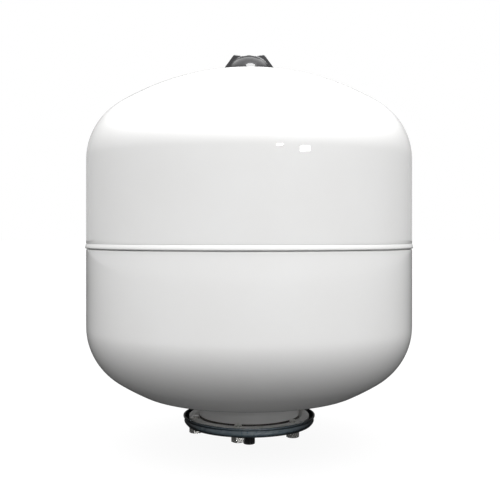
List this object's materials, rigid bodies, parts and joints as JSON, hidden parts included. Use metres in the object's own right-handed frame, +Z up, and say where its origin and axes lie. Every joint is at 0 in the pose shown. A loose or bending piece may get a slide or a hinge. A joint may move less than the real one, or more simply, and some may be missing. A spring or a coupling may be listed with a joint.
{
  "type": "expansion vessel",
  "caption": "Upright bladder expansion vessel: white domed steel tank with girth seam, bolted bottom flange with water nozzle, and a winged guard cap over the gas valve.",
  "frame": {"origin": "on the vessel's axis, level with the tip of the transit plug, the lowest point of the object", "axes": "+Z up along the vessel's axis, from the water nozzle to the gas valve; +X along one wing of the guard cap, -Y is the front"},
  "size_m": [0.362, 0.362, 0.4377],
  "materials": {
    "tank_paint": "gloss white epoxy coat",
    "ring_paint": "satin light grey-white coat",
    "flange_paint": "semi-gloss dark blue-grey coat",
    "zinc_plate": "zinc plate",
    "bright_zinc": "bright zinc plate",
    "stainless": "fine brushed",
    "brass": "turned",
    "bladder_rubber": "matt moulded EPDM",
    "seal_rubber": "matt",
    "cap_plastic": "gloss moulded charcoal",
    "black_plastic": "satin moulded black"
  },
  "bodies": {
    "vessel": {"upper_shell": "tank_paint", "lower_shell": "tank_paint", "girth_weld_bead": "tank_paint", "tank_flange_ring": "ring_paint", "service_flange": "flange_paint", "water_nozzle": "zinc_plate", "nozzle_strainer": "stainless", "valve_boss": "zinc_plate", "valve_stem": "brass", "valve_stem_gasket": "seal_rubber", "valve_core_body": "brass", "flange_bolt_1": "bright_zinc", "flange_washer_1": "bright_zinc", "flange_bolt_2": "bright_zinc", "flange_washer_2": "bright_zinc", "flange_bolt_3": "bright_zinc", "flange_washer_3": "bright_zinc", "flange_bolt_4": "bright_zinc", "flange_washer_4": "bright_zinc", "flange_bolt_5": "bright_zinc", "flange_washer_5": "bright_zinc", "flange_bolt_6": "bright_zinc", "flange_washer_6": "bright_zinc"},
    "bladder": {"bladder": "bladder_rubber"},
    "plug": {"transit_plug": "black_plastic", "transit_plug_ring": "seal_rubber"},
    "valve_pin": {"valve_core_pin": "brass", "valve_core_seal": "seal_rubber", "valve_core_spring": "stainless"},
    "dust_cap_thread": {"dust_cap_seal": "seal_rubber"},
    "dust_cap": {"dust_cap": "brass"},
    "guard_cap_thread": {"guard_cap_gasket": "seal_rubber"},
    "guard_cap": {"guard_cap": "cap_plastic"}
  },
  "joints": [
    {"name": "guard_cap_rise", "type": "slide", "parent": "vessel", "child": "guard_cap_thread", "axis": [0, 0, 1], "range_m": [0, 0.006]},
    {"name": "guard_cap_turn", "type": "hinge", "parent": "guard_cap_thread", "child": "guard_cap", "pos_m": [0, 0, 0.41903], "axis": [0, 0, 1], "range_deg": [0, 1080]},
    {"name": "dust_cap_rise", "type": "slide", "parent": "vessel", "child": "dust_cap_thread", "axis": [0, 0, 1], "range_m": [0, 0.0024]},
    {"name": "dust_cap_turn", "type": "hinge", "parent": "dust_cap_thread", "child": "dust_cap", "pos_m": [0, 0, 0.41903], "axis": [0, 0, 1], "range_deg": [0, 1080]},
    {"name": "valve_pin_press", "type": "slide", "parent": "vessel", "child": "valve_pin", "axis": [0, 0, -1], "range_m": [0, 0.0015], "stiffness_N_per_m": 20, "deforming": ["valve_core_spring"]},
    {"name": "plug_pull", "type": "slide", "parent": "vessel", "child": "plug", "axis": [0, 0, -1], "range_m": [0, 0.03]},
    {"name": "bladder_fill", "type": "slide", "parent": "vessel", "child": "bladder", "axis": [0, 0, 1], "range_m": [0, 0.12], "deforming": ["bladder"]}
  ],
  "couplings": [
    {"joint": "guard_cap_rise", "follows": "guard_cap_turn", "m_per_rad": 0.00031831},
    {"joint": "dust_cap_turn", "follows": "dust_cap_rise", "rad_per_m": 7854}
  ]
}
